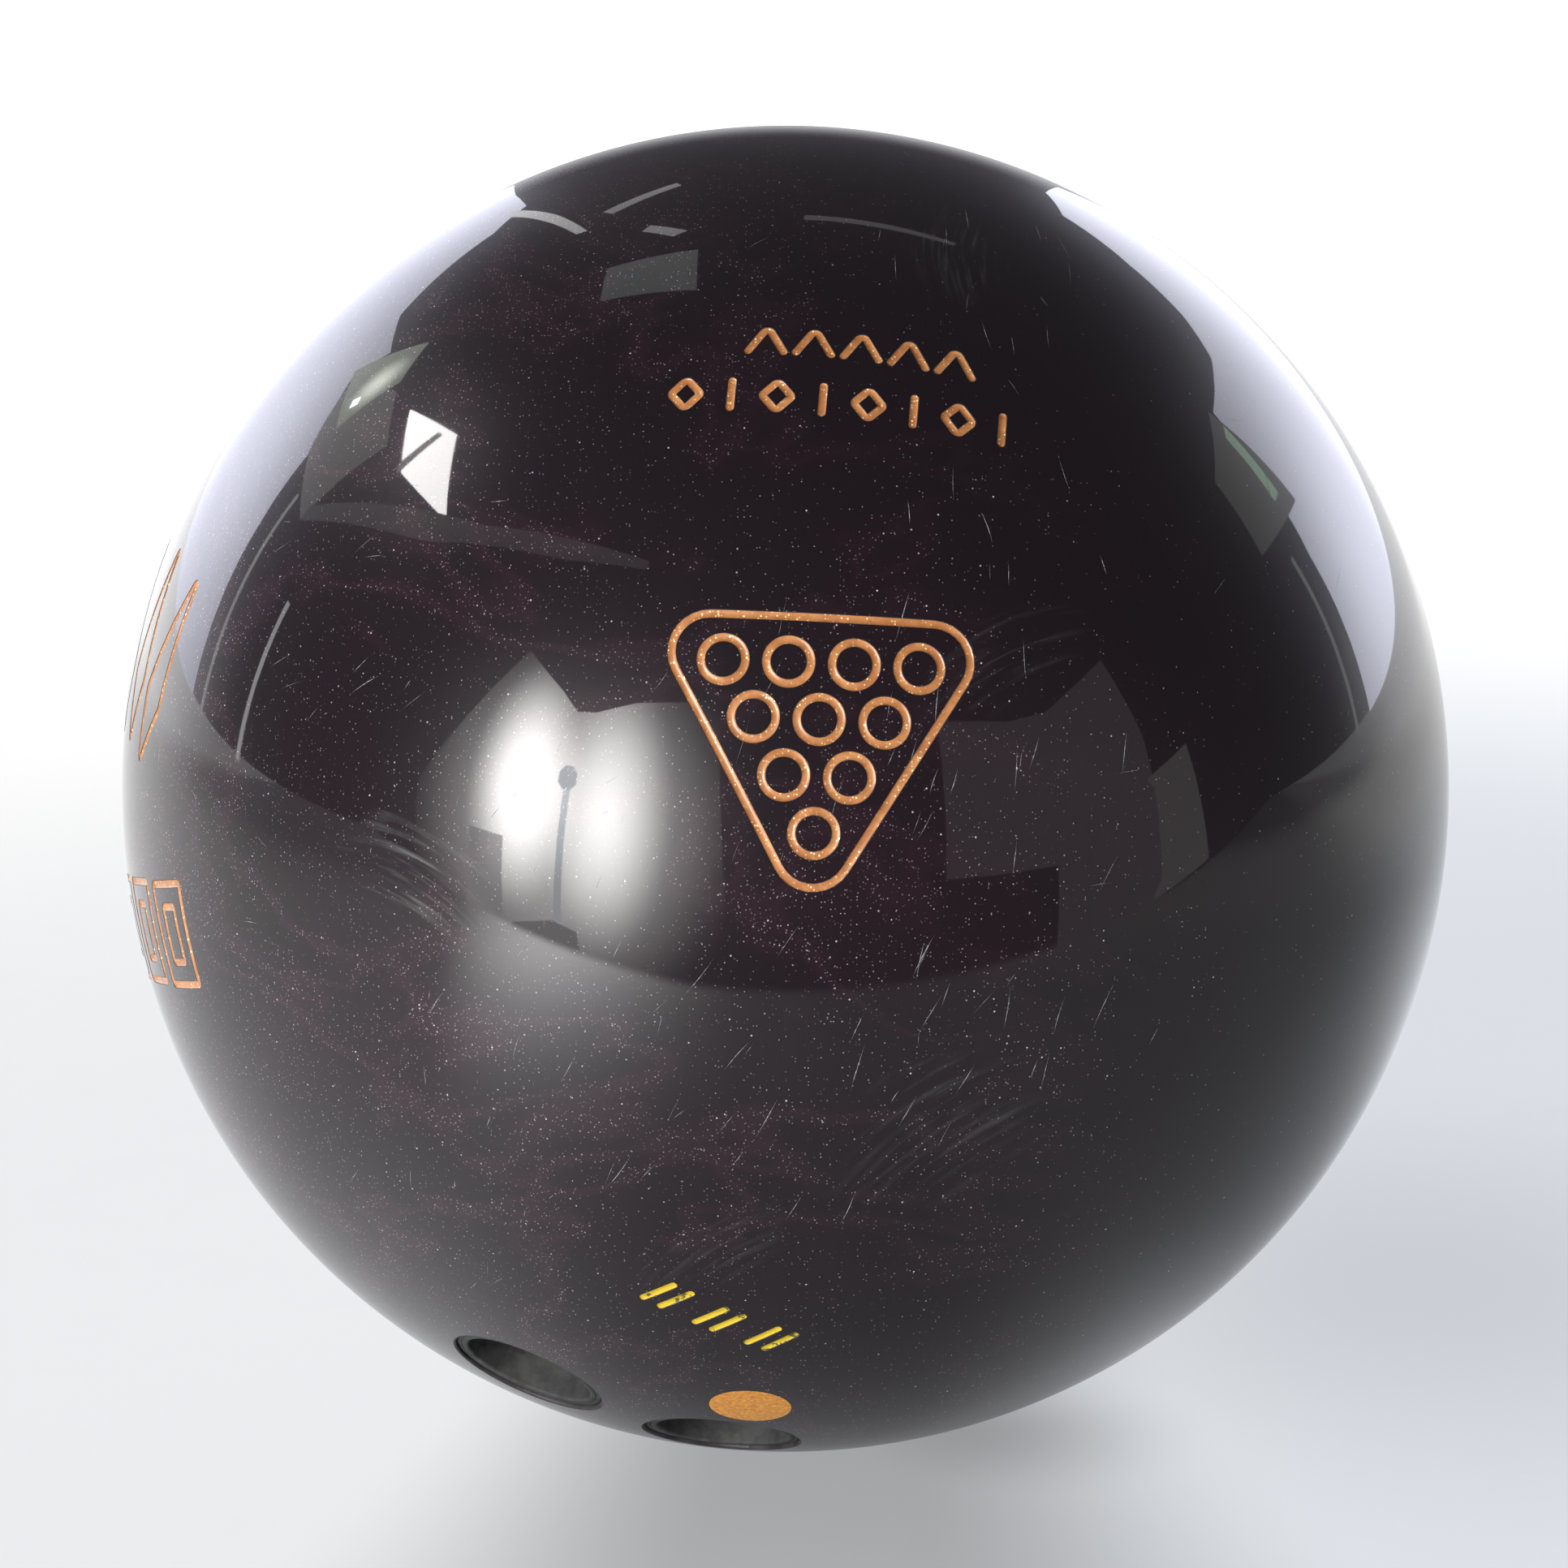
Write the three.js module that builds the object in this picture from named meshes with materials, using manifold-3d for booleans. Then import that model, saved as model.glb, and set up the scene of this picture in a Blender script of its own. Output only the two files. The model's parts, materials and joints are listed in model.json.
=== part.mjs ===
// A drilled ten-pin bowling ball: a cast shell round a filler core and a dense weight block, with a
// locator pin, two finger inserts, a thumb slug, and the paint that fills its engraved ornaments.
// Millimetres, +Z up. The origin is the ball's centre, the ball rests on its lowest point, and its
// front is -Y.
import * as THREE from "three";
import { mergeVertices } from "three/addons/utils/BufferGeometryUtils.js";
import Module from "manifold-3d";

const wasm = await Module();
wasm.setup();

// Driving dimensions, in millimetres.
const BALL_RADIUS = 108.5;
const SHELL_THICKNESS = 26;
const CAST_GAP = 0.3; // left between pieces that are cast or glued together
const REST_FLAT = 0.08; // how far the shell is flattened where it rests on the floor
const PIN_RADIUS = 6.35;
const FINGER_HOLE_RADIUS = 12.3;
const FINGER_HOLE_DEPTH = 48;
const FINGER_PITCH = 9.5; // from the ball's centre to a finger hole's axis, away from the other finger
const FINGER_BORE_RADIUS = 10.3;
const FINGER_INSERT_LENGTH = 38;
const THUMB_HOLE_RADIUS = 16.2;
const THUMB_HOLE_DEPTH = 69;
const THUMB_BORE_RADIUS = 13;
const THUMB_BORE_DEPTH = 62;
const SPAN = 108; // along the surface, from the edge of a finger hole to the edge of the thumb hole
const BEVEL = 1.1; // broken edge round each hole
const WEIGHT_BLOCK_TOP = 50; // from the ball's centre
const ENGRAVING_DEPTH = 1;
const PAINT_RECESS = 0.35; // from the ball's surface down to the paint
const PAINT_GAP = 0.1; // from the engraving's walls and floor to the paint
const STROKE = 1.2; // width of an engraved line

// How finely curves are divided.
const OUTER_DETAIL = 9;
const INNER_DETAIL = 5;
const LATHE_SEGMENTS = 24;
const RING_SEGMENTS = 12;

const radians = THREE.MathUtils.degToRad;
const point = (x, y) => new THREE.Vector2(x, y);
const range = (count) => Array.from({ length: count }, (_, i) => i);

// The unit vector at a longitude, counted from the front towards +X, and a latitude.
function direction(longitude, latitude) {
  const [lon, lat] = [radians(longitude), radians(latitude)];
  return new THREE.Vector3(
    Math.cos(lat) * Math.sin(lon),
    -Math.cos(lat) * Math.cos(lon),
    Math.sin(lat),
  );
}

// Where the pin and the holes come out of the ball. The bowler's hand sets the holes, so the thumb
// follows from the fingers: the same span away from both, on the side that the pin isn't.
const PIN = direction(-4.1, -46.5);
const MIDDLE_FINGER = direction(-32.9, -46.5);
const RING_FINGER = direction(-9.9, -57);
const THUMB = thumbDirection();

function thumbDirection() {
  const betweenFingers = MIDDLE_FINGER.clone().add(RING_FINGER).normalize();
  const across = RING_FINGER.clone().sub(MIDDLE_FINGER).normalize();
  const away = betweenFingers.clone().cross(across);
  if (away.dot(PIN) > 0) away.negate();
  const reach = (SPAN + FINGER_HOLE_RADIUS + THUMB_HOLE_RADIUS) / BALL_RADIUS;
  const swing = Math.acos(Math.cos(reach) / betweenFingers.dot(RING_FINGER));
  return betweenFingers.multiplyScalar(Math.cos(swing)).addScaledVector(away, Math.sin(swing));
}

// The height of a ball of this radius at a distance from an axis through its centre.
const crown = (radius, fromAxis) => Math.sqrt(radius ** 2 - fromAxis ** 2);

// A closed geometry as a manifold solid, and back.
function solidOf(geometry) {
  const bare = geometry.clone().deleteAttribute("normal").deleteAttribute("uv");
  const merged = mergeVertices(bare, 1e-4);
  return new wasm.Manifold(
    new wasm.Mesh({
      numProp: 3,
      vertProperties: new Float32Array(merged.attributes.position.array),
      triVerts: new Uint32Array(merged.index.array),
    }),
  );
}

function geometryOf(solid) {
  const mesh = solid.getMesh();
  const geometry = new THREE.BufferGeometry();
  geometry.setAttribute("position", new THREE.BufferAttribute(mesh.vertProperties, 3));
  geometry.setIndex(new THREE.BufferAttribute(mesh.triVerts, 1));
  geometry.computeVertexNormals();
  return geometry;
}

const cut = (solid, tools) => tools.reduce((left, tool) => left.subtract(tool), solid);
const ballOf = (radius, detail) => solidOf(new THREE.IcosahedronGeometry(radius, detail));

// A frame with +Z along the outward direction and +Y uphill, turned by roll degrees, at a height above the
// ball's centre.
function frameAt(outward, roll = 0, height = 0) {
  const right = new THREE.Vector3(0, 0, 1).cross(outward).normalize();
  const up = outward.clone().cross(right);
  return new THREE.Matrix4()
    .makeBasis(right, up, outward)
    .multiply(new THREE.Matrix4().makeRotationZ(radians(roll)))
    .multiply(new THREE.Matrix4().makeTranslation(0, 0, height));
}

// A hole's frame: the origin is the ball's surface at its mouth, and +Z runs out of the ball along its
// axis. The axis leans at the mouth towards a neighbour, so that the two holes stay apart further in.
function holeFrame(mouth, neighbour, pitch) {
  const towards = neighbour.clone().addScaledVector(mouth, -neighbour.dot(mouth)).normalize();
  const lean = Math.asin(pitch / BALL_RADIUS);
  const axis = mouth.clone().multiplyScalar(Math.cos(lean)).addScaledVector(towards, Math.sin(lean));
  return frameAt(axis).setPosition(mouth.clone().multiplyScalar(BALL_RADIUS));
}
const MIDDLE_HOLE = holeFrame(MIDDLE_FINGER, RING_FINGER, FINGER_PITCH);
const RING_HOLE = holeFrame(RING_FINGER, MIDDLE_FINGER, FINGER_PITCH);
const THUMB_HOLE = holeFrame(THUMB, PIN, 0);

// A solid of revolution in a frame. Profile points are (distance from the axis, height), with the
// material on the left of the line through them.
function turned(profile, frame) {
  const geometry = new THREE.LatheGeometry(profile, LATHE_SEGMENTS).rotateX(Math.PI / 2);
  return solidOf(geometry.applyMatrix4(frame));
}

const CLEARANCE = 6; // how far a cutting tool stands out of the ball
function drill(radius, depth, frame) {
  const profile = [
    point(0, -depth),
    point(radius, -depth),
    point(radius, CLEARANCE),
    point(0, CLEARANCE),
  ];
  return turned(profile, frame);
}

// The 45 degree cone that breaks a hole's edge all round.
function countersink(mouth, radius) {
  const edge = radius + BEVEL;
  const rim = crown(BALL_RADIUS, edge);
  const profile = [
    point(0, rim - edge),
    point(edge + CLEARANCE, rim + CLEARANCE),
    point(0, rim + CLEARANCE),
  ];
  return turned(profile, frameAt(mouth));
}

const ball = new THREE.Group();

function addPiece(name, solid, look) {
  const mesh = new THREE.Mesh(geometryOf(solid), new THREE.MeshStandardMaterial(look));
  mesh.name = name;
  ball.add(mesh);
}

// The drilled holes, and the hole that the pin fills.
const pinFloor = WEIGHT_BLOCK_TOP + CAST_GAP;
const gripHoles = [
  drill(FINGER_HOLE_RADIUS, FINGER_HOLE_DEPTH, MIDDLE_HOLE),
  drill(FINGER_HOLE_RADIUS, FINGER_HOLE_DEPTH, RING_HOLE),
  drill(THUMB_HOLE_RADIUS, THUMB_HOLE_DEPTH, THUMB_HOLE),
];
const pinHole = drill(PIN_RADIUS + CAST_GAP, BALL_RADIUS - pinFloor, frameAt(PIN, 0, BALL_RADIUS));

// Engraved ornaments. Each is an outline drawn flat round its own centre, and sunk straight into the
// ball there.

// An anticlockwise outline moved inwards by a distance.
function inset(corners, distance) {
  return corners.map((corner, i) => {
    const into = corner.clone().sub(corners.at(i - 1)).normalize();
    const out = corners[(i + 1) % corners.length].clone().sub(corner).normalize();
    const inwards = out.clone().sub(into).divideScalar(into.cross(out));
    return corner.clone().addScaledVector(inwards, distance);
  });
}

// The whole inside of an outline, or only the line of STROKE width that runs inside it. A margin makes
// either of them thinner.
const filled = (corners) => (margin) => new THREE.Shape(inset(corners, margin));
const outlined = (corners) => (margin) => {
  const shape = new THREE.Shape(inset(corners, margin));
  shape.holes.push(new THREE.Path(inset(corners, STROKE - margin)));
  return shape;
};

function polar(radius, degrees) {
  return point(radius * Math.cos(radians(degrees)), radius * Math.sin(radians(degrees)));
}

const circle = (radius) => range(RING_SEGMENTS).map((i) => polar(radius, (i * 360) / RING_SEGMENTS));

// A triangle with rounded corners that stands on one of them.
function roundedTriangle(reach, cornerRadius) {
  return [-90, 30, 150].flatMap((corner) =>
    [-60, -30, 0, 30, 60].map((turn) =>
      polar(reach - cornerRadius, corner).add(polar(cornerRadius, corner + turn)),
    ),
  );
}

const block = (halfWidth, halfHeight) => [
  point(-halfWidth, -halfHeight),
  point(halfWidth, -halfHeight),
  point(halfWidth, halfHeight),
  point(-halfWidth, halfHeight),
];

const lozenge = (halfWidth, halfHeight) => [
  point(halfWidth, 0),
  point(0, halfHeight),
  point(-halfWidth, 0),
  point(0, -halfHeight),
];

// A blade that is widest a third of the way up.
const blade = (halfWidth, halfLength) => [
  point(0, -halfLength),
  point(halfWidth, -halfLength / 3),
  point(0, halfLength),
  point(-halfWidth, -halfLength / 3),
];

const chevron = (halfWidth, halfHeight, thickness) => [
  point(-halfWidth, -halfHeight),
  point(0, halfHeight - thickness),
  point(halfWidth, -halfHeight),
  point(halfWidth, thickness - halfHeight),
  point(0, halfHeight),
  point(-halfWidth, thickness - halfHeight),
];

const slantedBar = (halfWidth, halfHeight, slant) => [
  point(-halfWidth - slant, -halfHeight),
  point(halfWidth - slant, -halfHeight),
  point(halfWidth + slant, halfHeight),
  point(-halfWidth + slant, halfHeight),
];

// The front emblem: a rack's triangle, and a ring for each of the ten pins in it.
function emblemMarks() {
  const spacing = 9.4;
  const rowHeight = spacing * Math.cos(radians(30));
  const rings = range(4).flatMap((row) =>
    range(row + 1).map((i) => ({
      x: (i - row / 2) * spacing,
      y: (row - 2) * rowHeight,
      outline: outlined(circle(3.8)),
    })),
  );
  const frame = { x: 0, y: 0, outline: outlined(roundedTriangle(24.5, 6.1)), curved: true };
  return [
    { name: "emblem_frame_paint", ...frame },
    ...rings.map((ring, i) => ({ name: `emblem_ring_paint_${i + 1}`, ...ring })),
  ];
}

// A level row of marks with the same spacing, centred on x = 0.
function rowOf(name, outlines, spacing, y = 0) {
  return outlines.map((outline, i) => ({
    name: `${name}_${i + 1}`,
    x: (i - (outlines.length - 1) / 2) * spacing,
    y,
    outline,
  }));
}

// The upper rows: five aiming arrows, and eight marks that are lozenges and upright bars by turns.
function arrowMarks() {
  const arrows = range(5).map(() => filled(chevron(2.9, 3.9, 2.5)));
  return rowOf("arrow_paint", arrows, 7);
}

function dashMarks() {
  const outlines = range(8).map((i) => (i % 2 ? filled(block(STROKE / 2, 3)) : outlined(lozenge(3, 3.6))));
  return rowOf("dash_paint", outlines, 6.7);
}

// The side motif: a fan of five blades over a row of five blocks within blocks.
function sideMarks() {
  const fanRadius = 70;
  const blades = range(5).map((i) => {
    const lean = (i - 2) * 12;
    const { x, y } = polar(fanRadius, 90 - lean);
    const outline = outlined(blade(4.8, 20));
    return { name: `side_blade_paint_${i + 1}`, x, y: y - 38, lean, outline, curved: true };
  });
  const frames = rowOf("side_block_paint", range(5).map(() => outlined(block(6.6, 8.6))), 16, -17.5);
  const centres = rowOf("side_centre_paint", range(5).map(() => outlined(block(3, 5))), 16, -17.5);
  return [...blades, ...frames, ...centres];
}

// The owner's marks: three pairs of slanted strokes beside the fingers.
function ownerMarks() {
  const [pairSpacing, strokeSpacing] = [9, 3];
  return range(6).map((i) => ({
    name: `owner_stroke_paint_${i + 1}`,
    x: (Math.floor(i / 2) - 1) * pairSpacing + ((i % 2) - 0.5) * strokeSpacing,
    y: 0,
    outline: filled(slantedBar(STROKE / 2, 3.4, 1.3)),
  }));
}

const COPPER_PAINT = { color: 0xc07a3a, roughness: 0.45, metalness: 0.5 };
const YELLOW_PAINT = { color: 0xe0c814, roughness: 0.6, metalness: 0 };
const ornaments = [
  { centre: direction(2.7, 20.2), roll: -3.5, paint: COPPER_PAINT, marks: emblemMarks() },
  { centre: direction(9.7, 51.5), roll: -11.3, paint: COPPER_PAINT, marks: arrowMarks() },
  { centre: direction(6.7, 46.2), roll: -9.5, paint: COPPER_PAINT, marks: dashMarks() },
  { centre: direction(-80, 0), roll: 13, paint: COPPER_PAINT, marks: sideMarks() },
  { centre: direction(-6.2, -32.2), roll: -33, paint: YELLOW_PAINT, marks: ownerMarks() },
];

// The frame of a mark that lies at arc lengths x and y from its ornament's centre.
function markFrame(ornament, { x, y, lean = 0 }) {
  const swing = new THREE.Matrix4();
  const distance = Math.hypot(x, y);
  if (distance > 0) {
    const axis = new THREE.Vector3(-y, x, 0).divideScalar(distance);
    swing.makeRotationAxis(axis, distance / BALL_RADIUS);
  }
  return frameAt(ornament.centre, ornament.roll)
    .multiply(swing)
    .multiply(new THREE.Matrix4().makeRotationZ(-radians(lean)));
}

// The prism over a flat shape in a mark's frame, between two heights above the ball's centre.
function prism(shape, frame, low, high) {
  const geometry = new THREE.ExtrudeGeometry(shape, { depth: high - low, bevelEnabled: false });
  return solidOf(geometry.translate(0, 0, low).applyMatrix4(frame));
}

// A mark's layer between two heights. A small mark's is flat, and a long mark's follows the ball.
const SAGITTA = 5; // more than the ball falls away across the longest mark
function layer(mark, margin, frame, low, high) {
  if (!mark.curved) return prism(mark.outline(margin), frame, low, high);
  return prism(mark.outline(margin), frame, low - SAGITTA, high)
    .subtract(ballOf(low, OUTER_DETAIL))
    .intersect(ballOf(high, OUTER_DETAIL));
}

const engravings = [];
for (const ornament of ornaments) {
  for (const mark of ornament.marks) {
    const frame = markFrame(ornament, mark);
    const floor = BALL_RADIUS - ENGRAVING_DEPTH;
    const paintTop = BALL_RADIUS - PAINT_RECESS;
    engravings.push(layer(mark, 0, frame, floor, BALL_RADIUS + CLEARANCE));
    addPiece(mark.name, layer(mark, PAINT_GAP, frame, floor + PAINT_GAP, paintTop), ornament.paint);
  }
}

// The cast pieces, from the outside in.
const cavityRadius = BALL_RADIUS - SHELL_THICKNESS;
const underFloor = new THREE.BoxGeometry(BALL_RADIUS, BALL_RADIUS, CLEARANCE);
underFloor.translate(0, 0, REST_FLAT - BALL_RADIUS - CLEARANCE / 2);
const shell = cut(ballOf(BALL_RADIUS, OUTER_DETAIL), [
  ballOf(cavityRadius, INNER_DETAIL),
  solidOf(underFloor),
  countersink(MIDDLE_FINGER, FINGER_HOLE_RADIUS),
  countersink(RING_FINGER, FINGER_HOLE_RADIUS),
  ...gripHoles,
  pinHole,
  ...engravings,
]);
addPiece("coverstock", shell, { color: 0x17121a, roughness: 0.08, metalness: 0 });

// The weight block, a light bulb with its top to the pin. Grown by a margin, it is also the hollow that the
// filler leaves for it.
function weightBlock(margin) {
  const [belly, height] = [43 + margin, 36 + margin];
  const dome = new THREE.EllipseCurve(0, 6, belly, height, -0.35 * Math.PI, 0.4 * Math.PI);
  const profile = [
    point(0, -56 - margin),
    point(28 + margin, -56 - margin),
    point(31 + margin, -53),
    point(31 + margin, -44 + margin),
    point(24 + margin, -36),
    ...dome.getPoints(7),
    point(12 + margin, WEIGHT_BLOCK_TOP - 6),
    point(12 + margin, WEIGHT_BLOCK_TOP + margin),
    point(0, WEIGHT_BLOCK_TOP + margin),
  ];
  return turned(profile, frameAt(PIN));
}
const filler = cut(ballOf(cavityRadius - CAST_GAP, INNER_DETAIL), [
  weightBlock(CAST_GAP),
  ...gripHoles,
  pinHole,
]);
addPiece("filler_core", filler, { color: 0xb9b2a4, roughness: 0.8, metalness: 0 });
const bulb = cut(weightBlock(0), gripHoles);
addPiece("weight_block", bulb, { color: 0x8e2f25, roughness: 0.55, metalness: 0 });

// The locator pin, from the weight block to the ball's surface. The ring finger's hole bites its side.
const pinProfile = [
  point(0, pinFloor + CAST_GAP),
  point(PIN_RADIUS, pinFloor + CAST_GAP),
  point(PIN_RADIUS, crown(BALL_RADIUS, PIN_RADIUS)),
  point(PIN_RADIUS / 2, crown(BALL_RADIUS, PIN_RADIUS / 2)),
  point(0, BALL_RADIUS),
];
const pin = cut(turned(pinProfile, frameAt(PIN)), gripHoles);
addPiece("locator_pin", pin, { color: 0xc9772a, roughness: 0.35, metalness: 0 });

// A finger insert: a flexible tube glued in its hole, its rim trimmed to the ball's curve just under
// the bevel.
function fingerInsert(frame) {
  const outer = FINGER_HOLE_RADIUS - CAST_GAP;
  const profile = [
    point(FINGER_BORE_RADIUS, -FINGER_INSERT_LENGTH),
    point(outer, -FINGER_INSERT_LENGTH),
    point(outer, CLEARANCE),
    point(FINGER_BORE_RADIUS, CLEARANCE),
    point(FINGER_BORE_RADIUS, -FINGER_INSERT_LENGTH),
  ];
  return turned(profile, frame).intersect(ballOf(BALL_RADIUS - BEVEL, OUTER_DETAIL));
}
const VINYL = { color: 0x26282b, roughness: 0.5, metalness: 0 };
addPiece("middle_finger_insert", fingerInsert(MIDDLE_HOLE), VINYL);
addPiece("ring_finger_insert", fingerInsert(RING_HOLE), VINYL);

// The thumb slug: a plug glued in its hole, sanded flush with the ball, and bored blind for the thumb.
const slugBlank = drill(THUMB_HOLE_RADIUS - CAST_GAP, THUMB_HOLE_DEPTH - CAST_GAP, THUMB_HOLE);
const slug = slugBlank
  .intersect(ballOf(BALL_RADIUS, OUTER_DETAIL))
  .subtract(drill(THUMB_BORE_RADIUS, THUMB_BORE_DEPTH, THUMB_HOLE))
  .subtract(countersink(THUMB, THUMB_BORE_RADIUS));
addPiece("thumb_slug", slug, { color: 0x1b1b1d, roughness: 0.4, metalness: 0 });

export default ball;
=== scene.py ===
"""The looks of a drilled bowling ball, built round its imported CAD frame.

Metres, +Z up, the ball's centre at the origin and its front emblem towards -Y.
"""

import json
import math
import random

import bmesh
import bpy
import numpy as np
from mathutils import Matrix, Vector

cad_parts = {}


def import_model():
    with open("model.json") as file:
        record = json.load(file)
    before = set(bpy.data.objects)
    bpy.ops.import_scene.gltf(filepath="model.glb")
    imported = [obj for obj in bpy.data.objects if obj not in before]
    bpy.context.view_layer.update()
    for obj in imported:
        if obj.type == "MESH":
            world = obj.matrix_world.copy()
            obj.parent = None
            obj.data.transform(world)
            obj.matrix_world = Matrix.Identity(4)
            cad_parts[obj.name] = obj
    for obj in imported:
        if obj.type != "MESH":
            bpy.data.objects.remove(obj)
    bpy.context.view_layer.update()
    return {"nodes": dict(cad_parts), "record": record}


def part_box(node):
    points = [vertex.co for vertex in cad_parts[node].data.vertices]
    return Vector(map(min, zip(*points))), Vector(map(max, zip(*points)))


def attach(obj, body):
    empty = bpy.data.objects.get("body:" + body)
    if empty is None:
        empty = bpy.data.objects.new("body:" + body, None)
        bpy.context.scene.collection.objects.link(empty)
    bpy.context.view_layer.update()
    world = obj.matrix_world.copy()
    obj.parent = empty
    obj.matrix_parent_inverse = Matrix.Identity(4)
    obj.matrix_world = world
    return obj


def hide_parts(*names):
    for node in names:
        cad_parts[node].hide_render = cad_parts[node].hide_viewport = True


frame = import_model()

MM = 0.001
ORIGIN = Vector((0, 0, 0))

# The ball, from the frame.
shell_low, shell_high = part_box("coverstock")
RADIUS = (shell_high.x - shell_low.x) / 2
FLOOR_Z = shell_low.z
MOUNTS = {mount["name"]: mount for mount in frame["record"]["mounts"]}

# Driving dimensions of the visible detail.
SHELL_THICKNESS = 26 * MM
PIN_RADIUS = 6.35 * MM
FINGER_HOLE_RADIUS = 12.3 * MM
FINGER_BORE_RADIUS = 10.3 * MM
FINGER_INSERT_LENGTH = 38 * MM
THUMB_HOLE_RADIUS = 16.2 * MM
THUMB_BORE_RADIUS = 13 * MM
EDGE_ROUND = 0.5 * MM  # radius of a hole's softened edge
STROKE = 1.2 * MM  # width of an engraved line
GROOVE_DEPTH = 0.62 * MM
SEAM = 0.03 * MM  # hairline between glued pieces

# The camera.
CAMERA_RISE = 15  # degrees over level
CAMERA_DISTANCE = 0.78
CAMERA_AIM = Vector((-0.0002, 0, 0.0007))
SENSOR_WIDTH, FOCAL_LENGTH = 36, 108.5  # in millimetres


# ---------------------------------------------------------------- geometry

def direction(longitude, latitude):
    """The unit vector at a longitude, counted from the front towards +X, and a latitude, in degrees."""
    lon, lat = math.radians(longitude), math.radians(latitude)
    return Vector((math.cos(lat) * math.sin(lon), -math.cos(lat) * math.cos(lon), math.sin(lat)))


def tangent(normal, hint):
    """The unit vector across a normal that points most nearly along a hint."""
    return (hint - normal * hint.dot(normal)).normalized()


def frame_on(normal, hint, origin=ORIGIN):
    """A frame with +Z along a normal and +X most nearly along a hint."""
    z = normal.normalized()
    x = tangent(z, hint)
    y = z.cross(x)
    matrix = Matrix((x, y, z)).transposed().to_4x4()
    matrix.translation = origin
    return matrix


def hole_frame(mount_name):
    """A drilled hole's frame: +Z out along its axis, the origin where that axis leaves the ball."""
    mount = MOUNTS[mount_name]
    floor, axis = Vector(mount["pos_m"]), Vector(mount["axis"]).normalized()
    along = floor.dot(axis)
    reach = -along + math.sqrt(along**2 + RADIUS**2 - floor.length_squared)
    return frame_on(axis, Vector((1, 0, 0)), floor + axis * reach)


def node_direction(node):
    low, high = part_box(node)
    return ((low + high) / 2).normalized()


def rectangle(half_width, half_height, *z):
    """The corners of an upright rectangle, anticlockwise, at a height z where one is given."""
    signs = ((-1, -1), (1, -1), (1, 1), (-1, 1))
    return [(a * half_width, b * half_height, *z) for a, b in signs]


def add_object(name, mesh):
    piece = bpy.data.objects.new(name, mesh)
    bpy.context.scene.collection.objects.link(piece)
    return piece


def new_object(name, vertices, faces):
    """A closed mesh object with its faces turned outwards."""
    mesh = bpy.data.meshes.new(name)
    mesh.from_pydata([tuple(v) for v in vertices], [], faces)
    build = bmesh.new()
    build.from_mesh(mesh)
    bmesh.ops.recalc_face_normals(build, faces=build.faces)
    build.to_mesh(mesh)
    build.free()
    return add_object(name, mesh)


def icosphere(name, radius, subdivisions):
    build = bmesh.new()
    bmesh.ops.create_icosphere(build, subdivisions=subdivisions, radius=radius)
    mesh = bpy.data.meshes.new(name)
    build.to_mesh(mesh)
    build.free()
    return add_object(name, mesh)


def surface_height(matrix, x, y, radius):
    """How high over a frame's XY plane the sphere of this radius lies, at x and y."""
    foot = matrix @ Vector((x, y, 0))
    axis = matrix.col[2].xyz
    along = foot.dot(axis)
    return -along + math.sqrt(along**2 + radius**2 - foot.length_squared)


def turned(name, matrix, profile, segments=128):
    """A solid turned about a frame's Z. A profile point is (distance from the axis, height), and a third
    entry, when it is there, makes the height count from the sphere of that radius instead of from z = 0."""
    vertices, rings = [], []
    for radius, height, *drape in profile:
        count = segments if radius > 0 else 1
        ring = []
        for k in range(count):
            angle = 2 * math.pi * k / segments
            x, y = radius * math.cos(angle), radius * math.sin(angle)
            base = surface_height(matrix, x, y, drape[0]) if drape else 0
            ring.append(len(vertices))
            vertices.append(matrix @ Vector((x, y, base + height)))
        rings.append(ring)
    faces = []
    for lower, upper in zip(rings, rings[1:] + rings[:1]):
        if len(lower) == 1 and len(upper) == 1:
            continue
        for k in range(segments):
            corners = [lower[k % len(lower)], lower[(k + 1) % len(lower)],
                       upper[(k + 1) % len(upper)], upper[k % len(upper)]]
            faces.append(list(dict.fromkeys(corners)))
    return new_object(name, vertices, faces)


def apply_modifiers(piece):
    depsgraph = bpy.context.evaluated_depsgraph_get()
    mesh = bpy.data.meshes.new_from_object(piece.evaluated_get(depsgraph))
    piece.modifiers.clear()
    old, piece.data = piece.data, mesh
    bpy.data.meshes.remove(old)


def carve(piece, tools, finish=0):
    """Cuts the tools out of a piece, one after another, and removes them. The cut faces get the piece's
    material of this number."""
    for tool in tools:
        tool.data.polygons.foreach_set("material_index", [finish] * len(tool.data.polygons))
        for material in piece.data.materials:
            tool.data.materials.append(material)
        cut = piece.modifiers.new("cut", "BOOLEAN")
        cut.operation = "DIFFERENCE"
        cut.solver = "MANIFOLD"
        cut.material_mode = "INDEX"
        cut.object = tool
    bpy.context.view_layer.update()
    apply_modifiers(piece)
    for tool in tools:
        bpy.data.objects.remove(tool)
    return piece


def joined(name, pieces):
    """One object of several that don't touch."""
    vertices, faces = [], []
    for piece in pieces:
        start = len(vertices)
        vertices += [piece.matrix_world @ v.co for v in piece.data.vertices]
        faces += [[start + i for i in face.vertices] for face in piece.data.polygons]
        bpy.data.objects.remove(piece)
    return new_object(name, vertices, faces)


def read(items, attribute, width=1, kind=np.float32):
    """One attribute of all of a mesh's vertices, faces or corners, as an array this many columns wide."""
    values = np.empty(len(items) * width, kind)
    items.foreach_get(attribute, values)
    return values.reshape(-1, width) if width > 1 else values


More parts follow.
